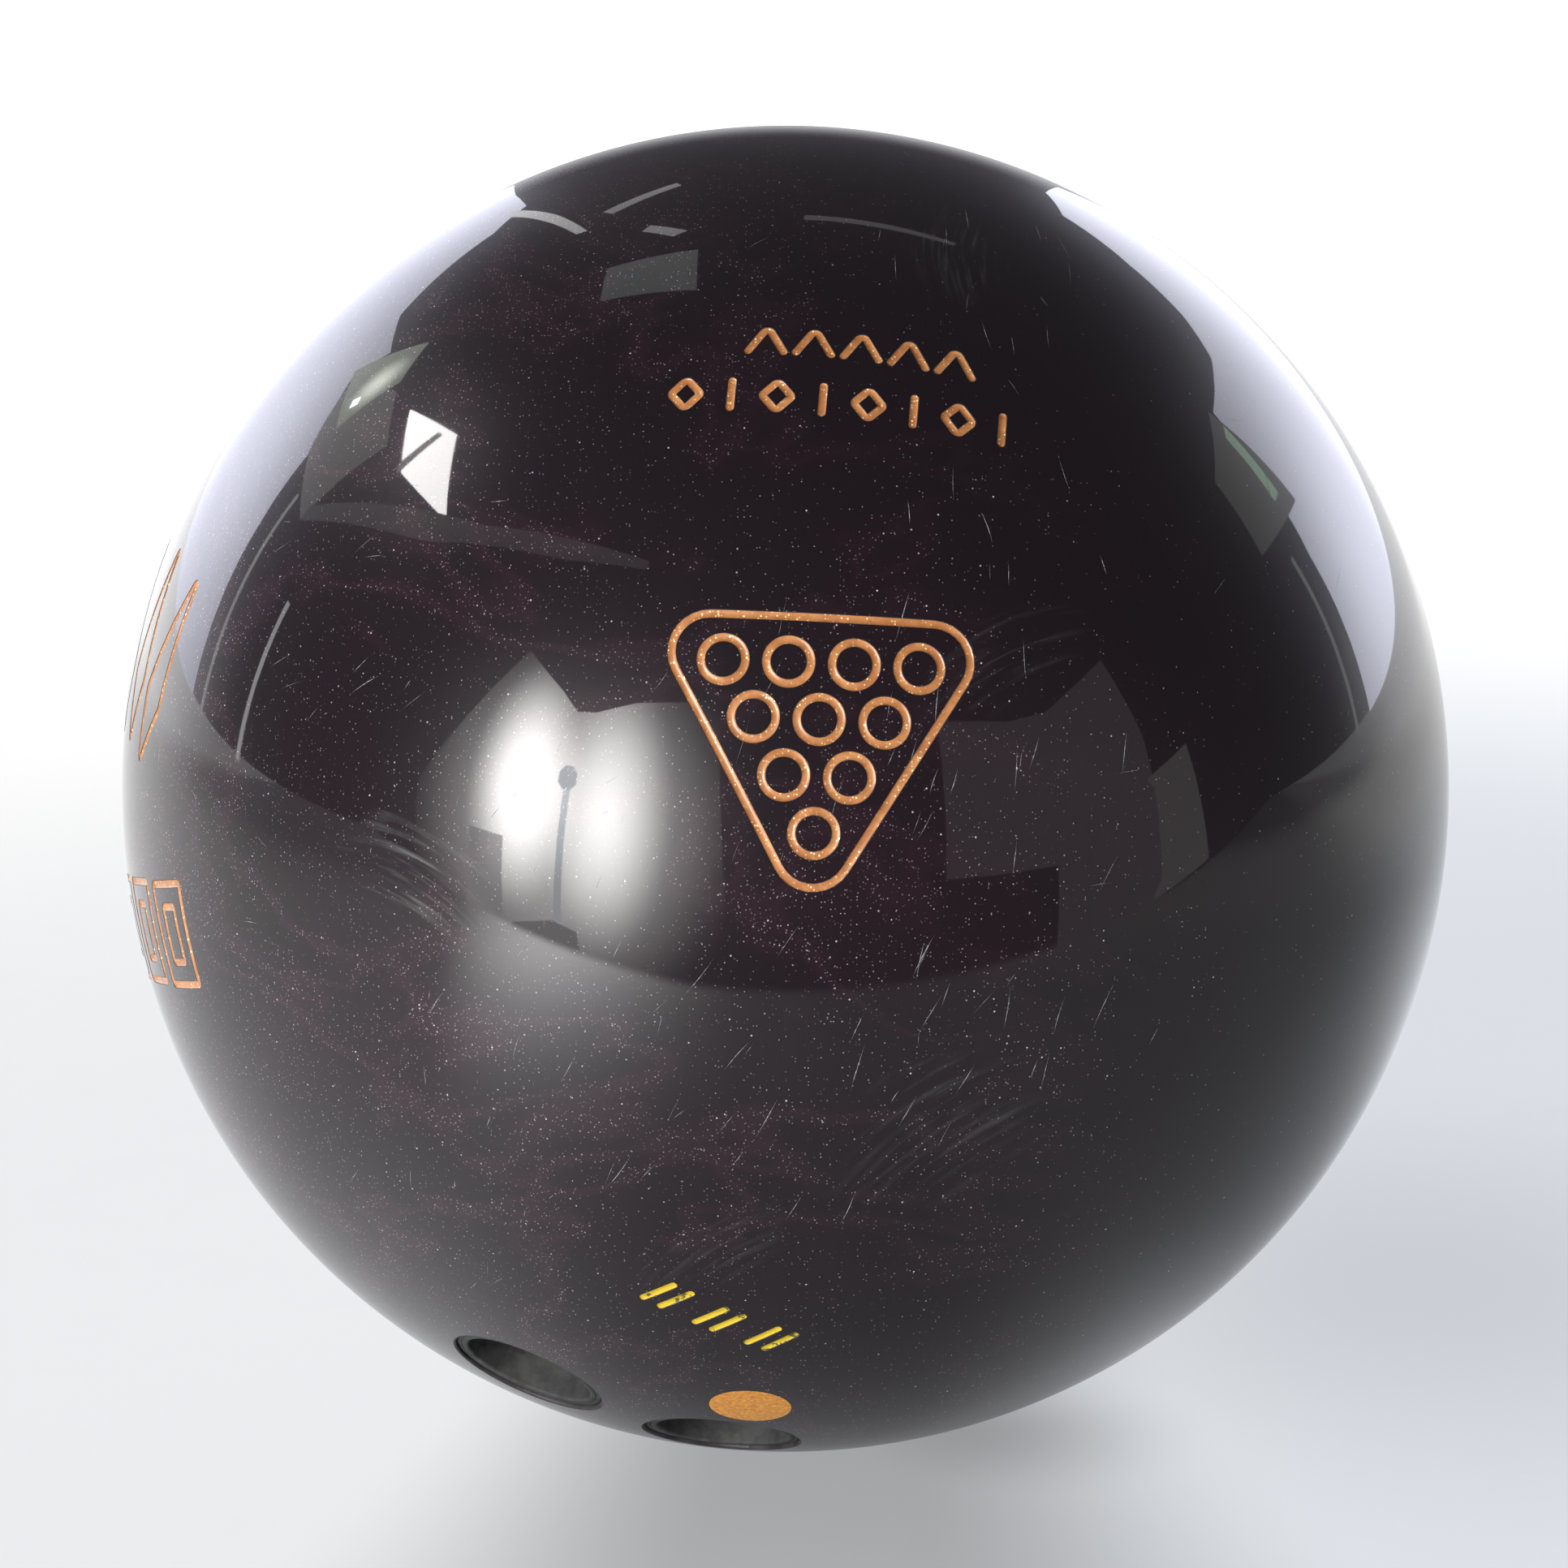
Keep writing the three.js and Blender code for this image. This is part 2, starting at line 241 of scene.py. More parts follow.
def smooth(piece, angle=35, round_surface=None):
    """Smooth shading with crisp edges. Faces that lie on the sphere of radius round_surface get its exact
    normals, so that its reflections don't show the cuts."""
    mesh = piece.data
    mesh.polygons.foreach_set("use_smooth", [True] * len(mesh.polygons))
    mesh.set_sharp_from_angle(angle=math.radians(angle))
    if not round_surface:
        return
    normals = read(mesh.corner_normals, "vector", 3)
    places = read(mesh.vertices, "co", 3)
    lengths = np.linalg.norm(places, axis=1)
    centres = read(mesh.polygons, "center", 3)
    facing = (read(mesh.polygons, "normal", 3) * centres).sum(1) / np.linalg.norm(centres, axis=1)
    sizes = read(mesh.polygons, "loop_total", kind=np.int32)
    owners = np.repeat(np.arange(len(mesh.polygons)), sizes)
    corners = read(mesh.loops, "vertex_index", kind=np.int32)
    on_sphere = lengths[corners] > round_surface - 0.02 * MM
    whole = np.bincount(owners, on_sphere, len(mesh.polygons)) == sizes
    chosen = (whole & (facing > 0.98))[owners]
    radial = places[corners] / lengths[corners][:, None]
    normals[chosen] = radial[chosen]
    mesh.normals_split_custom_set(normals.tolist())


# ---------------------------------------------------------------- engraved strokes

def rounded(corners, radius, closed=True, step=1.2 * MM):
    """The path through flat corners, with each bend an arc and each straight run split into short steps."""
    points = [Vector(c) for c in corners]
    count = len(points)
    bends = []
    for i, corner in enumerate(points):
        if not closed and i in (0, count - 1):
            bends.append([corner])
            continue
        before = (points[i - 1] - corner).normalized()
        after = (points[(i + 1) % count] - corner).normalized()
        half = before.angle(after) / 2
        setback = radius / math.tan(half)
        middle = corner + (before + after).normalized() * (radius / math.sin(half))
        start, end = corner + before * setback, corner + after * setback
        sweep = (start - middle).angle_signed(end - middle)
        turns = max(2, math.ceil(abs(sweep) / math.radians(15)))
        arm = start - middle
        arc = []
        for k in range(turns + 1):
            angle = -sweep * k / turns
            arc.append(middle + Vector((
                arm.x * math.cos(angle) - arm.y * math.sin(angle),
                arm.x * math.sin(angle) + arm.y * math.cos(angle),
            )))
        bends.append(arc)
    path = []
    for i, bend in enumerate(bends):
        path += bend
        if closed or i < count - 1:
            start, end = bend[-1], bends[(i + 1) % count][0]
            parts = max(1, round((end - start).length / step))
            path += [start.lerp(end, k / parts) for k in range(1, parts)]
    return path


def inset(corners, distance):
    """An anticlockwise outline moved inwards."""
    points = [Vector(c) for c in corners]
    moved = []
    for i, corner in enumerate(points):
        into = (corner - points[i - 1]).normalized()
        out = (points[(i + 1) % len(points)] - corner).normalized()
        turn = into.x * out.y - into.y * out.x
        moved.append(corner + (out - into) * (distance / turn))
    return moved


def circle_path(radius, count=72):
    return [Vector((radius * math.cos(2 * math.pi * k / count), radius * math.sin(2 * math.pi * k / count)))
            for k in range(count)]


def onto_ball(matrix, point):
    """The unit vector under a flat point of a mark's frame."""
    lift = math.sqrt(RADIUS**2 - point.x**2 - point.y**2)
    return (matrix @ Vector((point.x, point.y, lift))).normalized()


def round_cap(station, width, steps=7):
    """The stations that round a bar off past its last one, or, with a negative width, before its first."""
    place, normal, along, _ = station
    angles = [math.radians(80) * k / steps for k in range(1, steps + 1)]
    return [(place + along * width * math.sin(a), normal, along, math.cos(a)) for a in angles]


def swept(name, matrix, path, closed, section, pointed=False):
    """A bar with this cross-section, (across, height above the ball's surface), laid along a path on the
    ball. Open ends are rounded as a ball-nosed cutter leaves them, or run out to a point."""
    spots = [onto_ball(matrix, p) for p in path]
    count = len(spots)
    width = max(across for across, _ in section)
    stations = []
    for i, spot in enumerate(spots):
        ahead = spots[(i + 1) % count] if closed or i < count - 1 else spot
        behind = spots[i - 1] if closed or i > 0 else spot
        along = tangent(spot, ahead - behind)
        scale = max(0.15, math.sin(math.pi * i / (count - 1))) if pointed else 1.0
        stations.append((spot * RADIUS, spot, along, scale))
    if not closed and not pointed:
        stations = round_cap(stations[0], -width)[::-1] + stations + round_cap(stations[-1], width)
    vertices = []
    for place, normal, along, scale in stations:
        left = normal.cross(along)
        for across, height in section:
            depth = height * scale if height < 0 else height
            vertices.append(place + left * (across * scale) + normal * depth)
    size = len(section)
    rings = len(stations)
    faces = []
    for i in range(rings if closed else rings - 1):
        here, there = i * size, (i + 1) % rings * size
        for k in range(size):
            following = (k + 1) % size
            faces.append([here + k, here + following, there + following, there + k])
    if not closed:
        faces.append(list(range(size)))
        faces.append([(rings - 1) * size + k for k in range(size)])
    return new_object(name, vertices, faces)


def groove_section(width=STROKE, depth=GROOVE_DEPTH):
    """The cutter: half an ellipse, with a little flare that breaks the groove's edges."""
    half = width / 2
    arc = [(half * math.cos(a), -depth * math.sin(a)) for a in np.linspace(0.12, math.pi - 0.12, 11)]
    flare = half + 0.1 * MM
    return [(-flare, 0.4 * MM), (flare, 0.4 * MM), (flare, 0.02 * MM)] + arc + [(-flare, 0.02 * MM)]


def paint_section(width=STROKE, depth=GROOVE_DEPTH):
    """The paint: it lines the groove, thin at the edges and dished in the middle."""
    half = width / 2 - 0.015 * MM
    angles = np.linspace(0.16, math.pi - 0.16, 11)
    under = [(half * math.cos(a), -(depth - 0.012 * MM) * math.sin(a)) for a in angles]
    dish = [(half * 0.97 * math.cos(a), -0.06 * MM - 0.24 * MM * math.sin(a)) for a in angles[::-1]]
    return under + dish


class Mark:
    """A stroke of an ornament: where it is, its path, and the CAD paint that it stands for."""

    def __init__(self, node, hint, path, closed=True, width=STROKE):
        self.node, self.path, self.closed, self.width = node, path, closed, width
        self.matrix = frame_on(node_direction(node), hint)

    def groove(self):
        return swept("groove", self.matrix, self.path, self.closed, groove_section(self.width))

    def paint(self):
        return swept("paint", self.matrix, self.path, self.closed, paint_section(self.width))


def row_hint(first, last):
    """The direction in which a row of marks runs."""
    return node_direction(last) - node_direction(first)


def triangle_path(reach, corner_radius):
    """A triangle with round corners that stands on one of them."""
    middle = reach - corner_radius
    corners = []
    for degrees in (-90, 30, 150):
        tip = Vector((math.cos(math.radians(degrees)), math.sin(math.radians(degrees))))
        corners.append(tip * (middle + corner_radius / math.sin(math.radians(30))))
    return rounded(corners, corner_radius)


def emblem_marks():
    right = row_hint("emblem_ring_paint_7", "emblem_ring_paint_10")
    triangle = triangle_path(24.5 * MM - STROKE / 2, 6.1 * MM - STROKE / 2)
    frame_mark = Mark("emblem_frame_paint", right, triangle)
    frame_mark.matrix = frame_on(node_direction("emblem_ring_paint_5"), right)
    ring = circle_path(3.8 * MM - STROKE / 2)
    return [frame_mark] + [Mark(f"emblem_ring_paint_{i}", right, ring) for i in range(1, 11)]


def arrow_marks():
    right = row_hint("arrow_paint_1", "arrow_paint_5")
    foot, tip = (2.6 * MM, -2.1 * MM), 2.65 * MM
    path = rounded([(-foot[0], foot[1]), (0, tip), foot], 0.62 * MM, closed=False, step=0.6 * MM)
    return [Mark(f"arrow_paint_{i}", right, path, closed=False) for i in range(1, 6)]


def lozenge(half_width, half_height):
    return [(half_width, 0), (0, half_height), (-half_width, 0), (0, -half_height)]


def outline_path(corners):
    """The middle line of a stroke that runs just inside an outline."""
    return rounded(inset(corners, STROKE / 2), 0.62 * MM)


def dash_marks():
    right = row_hint("dash_paint_1", "dash_paint_8")
    diamond = outline_path(lozenge(3 * MM, 3.6 * MM))
    bar = rounded([(0, -2.4 * MM), (0, 2.4 * MM)], 0, closed=False)
    return [Mark(f"dash_paint_{i}", right, diamond) if i % 2 else
            Mark(f"dash_paint_{i}", right, bar, closed=False) for i in range(1, 9)]


def side_marks():
    right = row_hint("side_block_paint_1", "side_block_paint_5")
    outer = outline_path(rectangle(6.6 * MM, 8.6 * MM))
    inner = outline_path(rectangle(3 * MM, 5 * MM))
    blade = outline_path([(0, -20 * MM), (4.8 * MM, -20 / 3 * MM), (0, 20 * MM), (-4.8 * MM, -20 / 3 * MM)])
    marks = []
    for i in range(1, 6):
        marks.append(Mark(f"side_block_paint_{i}", right, outer))
        marks.append(Mark(f"side_centre_paint_{i}", right, inner))
        node = f"side_blade_paint_{i}"
        lean = Matrix.Rotation(-math.radians(12 * (i - 3)), 3, node_direction(node))
        marks.append(Mark(node, lean @ tangent(node_direction(node), right), blade))
    return marks


def owner_marks():
    right = row_hint("owner_stroke_paint_1", "owner_stroke_paint_6")
    path = rounded([(-1.07 * MM, -2.8 * MM), (1.07 * MM, 2.8 * MM)], 0, closed=False)
    return [Mark(f"owner_stroke_paint_{i}", right, path, closed=False) for i in range(1, 7)]


# ---------------------------------------------------------------- pieces

MIDDLE_HOLE = hole_frame("middle_finger_hole_floor")
RING_HOLE = hole_frame("ring_finger_hole_floor")
THUMB_HOLE = hole_frame("thumb_hole_floor")


def pin_direction():
    """The pin's axis, from the top face of its CAD rod."""
    rod = frame["nodes"]["locator_pin"].data
    tip = [v.co for v in rod.vertices if v.co.length > RADIUS - 0.001 * MM]
    return sum(tip, Vector()).normalized()


def drill(matrix, radius, depth):
    return turned("drill", matrix, [(0, -depth), (radius, -depth), (radius, 6 * MM), (0, 6 * MM)])


def edge_cutter(matrix, radius):
    """The tool that rounds a hole's edge over, square to the ball at the hole's mouth."""
    mouth = matrix.translation
    upright = frame_on(mouth, Vector((1, 0, 0)))
    outer = radius + EDGE_ROUND
    rim = math.sqrt(RADIUS**2 - outer**2)
    angles = np.linspace(math.pi, math.pi / 2 + math.radians(8), 9)
    bend = [(outer + EDGE_ROUND * math.cos(a), rim - EDGE_ROUND + EDGE_ROUND * math.sin(a)) for a in angles]
    widest = (outer + 0.6 * MM, rim + 2 * MM)
    profile = [(0, bend[0][1] - 0.01 * MM), (bend[0][0] - 0.03 * MM, bend[0][1] - 0.01 * MM)]
    return turned("edge", upright, profile + bend + [widest, (0, widest[1])])


def floor_cutter():
    """The slab under the flattened footprint that the ball rests on."""
    half = 30 * MM
    corners = rectangle(half, half, FLOOR_Z - 20 * MM) + rectangle(half, half, FLOOR_Z)
    sides = [[0, 1, 5, 4], [1, 2, 6, 5], [2, 3, 7, 6], [3, 0, 4, 7]]
    return new_object("slab", corners, [[0, 1, 2, 3], [4, 5, 6, 7]] + sides)


def make_shell(pin_axis, marks, materials):
    """The coverstock, with its polished surface, its bare cuts and its scratches."""
    shell = icosphere("coverstock_shell", RADIUS, subdivisions=7)
    for material in materials:
        shell.data.materials.append(material)
    through = SHELL_THICKNESS + 4 * MM
    carve(shell, [floor_cutter()])
    cuts = [icosphere("cavity", RADIUS - SHELL_THICKNESS, subdivisions=5)]
    for matrix in (MIDDLE_HOLE, RING_HOLE):
        cuts += [edge_cutter(matrix, FINGER_HOLE_RADIUS), drill(matrix, FINGER_HOLE_RADIUS, through)]
    cuts.append(drill(THUMB_HOLE, THUMB_HOLE_RADIUS, through))
    pin_hole = frame_on(pin_axis, Vector((1, 0, 0)), pin_axis * RADIUS)
    cuts.append(drill(pin_hole, PIN_RADIUS + SEAM, through))
    cuts.append(joined("grooves", [mark.groove() for mark in marks]))
    carve(shell, cuts, finish=1)
    carve(shell, make_scratches(), finish=2)
    smooth(shell, round_surface=RADIUS)
    return shell


def make_pin(pin_axis):
    """The locator rod, with its end polished to the ball's curve."""
    bottom = min(v.co.dot(pin_axis) for v in frame["nodes"]["locator_pin"].data.vertices)
    upright = frame_on(pin_axis, Vector((1, 0, 0)))
    top = [(PIN_RADIUS * k / 6, 0, RADIUS) for k in range(6, -1, -1)]
    rod = turned("locator_rod", upright, [(0, bottom), (PIN_RADIUS, bottom)] + top, segments=64)
    carve(rod, [drill(RING_HOLE, FINGER_HOLE_RADIUS, 60 * MM)])
    smooth(rod, round_surface=RADIUS)
    return rod


def bore_mouth(radius, soft, surface, steps):
    """The profile of a bore's rounded edge, under the sphere of radius surface."""
    return [(radius + soft * (1 - math.sin(a)), soft * (math.cos(a) - 1), surface)
            for a in np.linspace(0, math.pi / 2, steps)]


def make_insert(name, matrix):
    """A moulded finger insert: a tube with a rounded lip just under the ball's softened edge, a shallow
    moulded groove round the lip, and a bore that narrows a little with depth."""
    outer = FINGER_HOLE_RADIUS - SEAM
    lip, sink = 0.5 * MM, 0.65 * MM
    rim = RADIUS - sink
    round_outer = [(outer - lip * 0.4 * (1 - math.cos(a)), lip * 0.4 * (math.sin(a) - 1), rim)
                   for a in np.linspace(0, math.pi / 2, 5)]
    ring = [(outer - 0.75 * MM, 0, rim), (outer - 0.85 * MM, -0.12 * MM, rim), (outer - 0.95 * MM, 0, rim)]
    round_inner = bore_mouth(FINGER_BORE_RADIUS, lip, rim, 7)
    bore = [(FINGER_BORE_RADIUS, -8 * MM), (FINGER_BORE_RADIUS - 0.25 * MM, -20 * MM),
            (FINGER_BORE_RADIUS - 0.25 * MM, -FINGER_INSERT_LENGTH)]
    profile = [(outer, -FINGER_INSERT_LENGTH)] + round_outer + ring + round_inner + bore
    insert = turned(name, matrix, profile)
    smooth(insert, 50)
    return insert


def make_slug():
    """The thumb slug: sanded flush with the ball, bored blind, with a softened edge."""
    outer = THUMB_HOLE_RADIUS - SEAM
    floor = Vector(MOUNTS["thumb_hole_floor"]["pos_m"])
    bore_depth = (THUMB_HOLE.translation - floor).length
    bottom = -bore_depth - 6.7 * MM
    soft = 1.3 * MM
    flush = [(outer, 0, RADIUS), ((outer + THUMB_BORE_RADIUS + soft) / 2, 0, RADIUS)]
    edge = bore_mouth(THUMB_BORE_RADIUS, soft, RADIUS, 9)
    bore = [(THUMB_BORE_RADIUS, -bore_depth), (0, -bore_depth)]
    slug = turned("thumb_slug_plug", THUMB_HOLE, [(0, bottom), (outer, bottom)] + flush + edge + bore)
    smooth(slug, round_surface=RADIUS)
    return slug


def make_paint(name, marks):
    paint = joined(name, [mark.paint() for mark in marks])
    smooth(paint, 60)
    return paint


def settle(piece, material, slot, *nodes):
    """Gives a finished piece its material, hangs it under the root body and hides the CAD nodes that it
    stands for. The slot is not used.
    """
    if material:
        piece.data.materials.clear()
        piece.data.materials.append(material)
    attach(piece, "root")
    if nodes:
        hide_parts(*nodes)


# ---------------------------------------------------------------- scratches

# How many, round which longitude and latitude, how far spread, in degrees; which way they run, in degrees
# from level, and how much that strays; and the shortest and longest, in millimetres.
SCRATCHES = (
    (26, (8, 14), (9, 7), (68, 8), (2.5, 8)),
    (24, (-5, -9), (10, 6), (58, 9), (2.5, 8)),
    (14, (-22, -20), (12, 8), (62, 12), (2, 7)),
    (10, (15, -8), (6, 5), (68, 9), (3, 8)),
    (9, (20, 38), (6, 7), (87, 6), (3, 7)),
    (16, (-23, 7), (6, 6), (60, 40), (1.5, 4)),
    (10, (-40, 25), (8, 6), (35, 12), (3, 7)),
    (14, (35, 55), (14, 10), (60, 15), (3, 9)),
    (40, (150, 5), (60, 35), (40, 60), (2, 9)),
    (25, (0, 10), (60, 40), (55, 60), (1.5, 5)),
)


def scratch(draw, centre, spread, heading, lengths):
    """The cutter of one scratch: a shallow V that runs out at both ends."""
    normal = direction(draw.gauss(centre[0], spread[0]), draw.gauss(centre[1], spread[1]))
    level = tangent(normal, Vector((0, 0, 1)).cross(normal))
    along = Matrix.Rotation(math.radians(draw.gauss(*heading)), 3, normal) @ level
    length = draw.uniform(*lengths) * MM
    bow = length * draw.uniform(-0.03, 0.03)
    width = draw.uniform(0.11, 0.21) * MM
    section = [(-width / 2, 0.03 * MM), (width / 2, 0.03 * MM), (0, -0.2 * width)]
    path = [Vector((length * t / 2, bow * (1 - t * t))) for t in (-1, -0.6, -0.2, 0.2, 0.6, 1)]
    cutter = swept("scratch", frame_on(normal, along), path, False, section, pointed=True)
    return cutter, normal * RADIUS, length / 2


def make_scratches():
    """The scratches as a few cutters. Those that might cross go into different ones."""
    draw = random.Random(4)
    layers = []
    for count, *place in SCRATCHES:
        for _ in range(count):
            one = scratch(draw, *place)
            clear = [layer for layer in layers
                     if all((one[1] - other[1]).length > one[2] + other[2] for other in layer)]
            if clear:
                clear[0].append(one)
            else:
                layers.append([one])
    return [joined("scratches", [cutter for cutter, *_ in layer]) for layer in layers]


# ---------------------------------------------------------------- materials

class Graph:
    """The nodes of a material, or of the world, with short calls for the ones used here."""

    def __init__(self, name, world=False):
        self.owner = (bpy.data.worlds if world else bpy.data.materials).new(name)
        self.owner.use_nodes = True
        self.tree = self.owner.node_tree
        self.tree.nodes.clear()
        self.place = self.node("TexCoord").outputs["Generated" if world else "Object"]

    def feed(self, socket, value):
        if isinstance(value, bpy.types.NodeSocket):
            self.tree.links.new(value, socket)
        elif socket.type == "RGBA":
            socket.default_value = (*value, 1.0)
        elif value is not None:
            socket.default_value = value

    def node(self, kind, *values, **named):
        """A new node, with these values on its first inputs. A name in lower case is a setting's, and one
        with a capital is an input's, with underscores for spaces."""
        made = self.tree.nodes.new("ShaderNode" + kind)
        for name, value in named.items():
            if name.islower():
                setattr(made, name, value)
            else:
                self.feed(made.inputs[name.replace("_", " ")], value)
        for socket, value in zip(made.inputs, values):
            self.feed(socket, value)
        return made

    def math(self, operation, *values, clamp=False):
        return self.node("Math", *values, operation=operation, use_clamp=clamp).outputs[0]

    def plus(self, a, b):
        return self.math("ADD", a, b)

    def minus(self, a, b):
        return self.math("SUBTRACT", a, b)

    def times(self, a, b, clamp=False):
        return self.math("MULTIPLY", a, b, clamp=clamp)

    def over(self, a, b):
        return self.math("DIVIDE", a, b)

    def times_plus(self, a, b, c):
        return self.math("MULTIPLY_ADD", a, b, c)

    def vector(self, operation, *values, **named):
        made = self.node("VectorMath", *values, operation=operation, **named)
        return made.outputs["Value" if operation in ("DOT_PRODUCT", "LENGTH") else "Vector"]

    def combine(self, *values):
        return self.node("CombineXYZ", *values).outputs[0]

    def split(self, vector):
        return self.node("SeparateXYZ", vector).outputs

    def noise(self, vector, scale, detail=2.0, roughness=0.5, output="Fac"):
        made = self.node("TexNoise", Vector=vector, Scale=scale, Detail=detail, Roughness=roughness)
        return made.outputs[output]

    def cells(self, vector, scale):
        """The distance to the nearest of scattered points, and that point's random colour."""
        made = self.node("TexVoronoi", Vector=vector, Scale=scale)
        return made.outputs["Distance"], made.outputs["Color"]

    def band(self, value, start, end, low=0.0, high=1.0, kind="SMOOTHSTEP"):
        """low below start, high above end, and a smooth step between."""
        made = self.node("MapRange", value, start, end, low, high, interpolation_type=kind)
        return made.outputs["Result"]

    def blend(self, factor, a, b):
        """a where the factor is 0, b where it is 1, as numbers."""
        return self.band(factor, 0.0, 1.0, a, b, "LINEAR")

    def mix(self, factor, a, b):
        """a where the factor is 0, b where it is 1, as colours."""
        made = self.node("Mix", factor, data_type="RGBA")
        for socket, value in zip(made.inputs[6:8], (a, b)):
            self.feed(socket, value)
        return made.outputs[2]

    def either(self, factor, a, b):
        """a where the factor is 0, b where it is 1, as shaders."""
        return self.node("MixShader", factor, a.outputs[0], b.outputs[0])

    def bump(self, height, distance, strength):
        return self.node("Bump", Height=height, Distance=distance, Strength=strength).outputs[0]

    def bearings(self):
        """A point's azimuth, from the front towards +X, and its elevation, in degrees."""
        x, y, z = self.split(self.place)
        level = self.vector("LENGTH", self.combine(x, y))
        azimuth = self.math("ARCTAN2", x, self.times(y, -1.0))
        return self.math("DEGREES", azimuth), self.math("DEGREES", self.math("ARCTAN2", z, level))

    def halo(self, x, y, centre_x, centre_y, half_width, half_height):
        """1 at a centre, and a smooth fall to 0 on the ellipse round it."""
        across = self.over(self.minus(x, centre_x), half_width)
        up = self.over(self.minus(y, centre_y), half_height)
        return self.band(self.vector("LENGTH", self.combine(across, up)), 0.0, 1.0, 1.0, 0.0)

    def show(self, shader, output="OutputMaterial"):
        self.node(output, shader.outputs[0])

    def finish(self, **inputs):
        self.show(self.node("BsdfPrincipled", **inputs))
        return self.owner


def flecks(g, size, spacing, share, dimmest, evenness=2.2):
    """Specks of mica, in this share of a grid's cells, each with a tint of its own and a brightness that is
    partly the speck's own pale colour and partly a painted glint.
    """
    distance, colour = g.cells(g.place, 1 / spacing)
    parts = g.node("SeparateColor", colour)
    here = g.math("LESS_THAN", parts.outputs["Red"], share)
    speck = g.band(distance, size / spacing * 0.5, size / spacing, 1.0, 0.0)
    shine = g.math("POWER", parts.outputs["Green"], evenness)
    shine = g.blend(shine, dimmest, 1.0)
    return g.times(g.times(speck, here), shine), parts.outputs["Blue"]


# Patches of rub marks. Each has a strength, a centre, a heading, a length, a width, its lines' spacing and
# a seed.
SCUFFS = (
    (1.5, (-30, 6.5), -20, 28 * MM, 17 * MM, 1.4 * MM, 3.0),
    (0.45, (12, -13), 36, 36 * MM, 28 * MM, 1.9 * MM, 7.0),
    (0.35, (18, 24), 22, 34 * MM, 14 * MM, 1.3 * MM, 11.0),
    (0.5, (30, 62), 60, 30 * MM, 16 * MM, 1.0 * MM, 23.0),
    (0.35, (-6, -24), 40, 30 * MM, 14 * MM, 1.2 * MM, 31.0),
    (0.5, (160, 20), 25, 44 * MM, 20 * MM, 1.5 * MM, 37.0),
)


def scuff(g, edge, centre, heading, length, width, line, seed):
    """1 on the lines of a patch of parallel rub marks and 0 round it. The edge breaks up its outline."""
    normal = direction(*centre)
    level = tangent(normal, Vector((0, 0, 1)).cross(normal))
    along = Matrix.Rotation(math.radians(heading), 3, normal) @ level
    across = normal.cross(along)
    offset = g.vector("SUBTRACT", g.place, tuple(normal * RADIUS))
    u = g.vector("DOT_PRODUCT", offset, tuple(along))
    v = g.vector("DOT_PRODUCT", offset, tuple(across))
    bow = g.times_plus(g.times(u, u), 0.4 / length, v)
    streaks = g.noise(g.combine(g.times(u, 0.07 / line), g.over(bow, line), seed), 1.0, 3.0, 0.62)
    reach = g.vector("LENGTH", g.combine(g.over(u, length / 2), g.over(v, width / 2)))
    inside = g.band(g.plus(reach, edge), 0.2, 1.1, 1.0, 0.0)
    near = g.math("LESS_THAN", g.vector("LENGTH", offset), RADIUS)
    return g.times(g.times(inside, near), g.band(streaks, 0.47, 0.74))


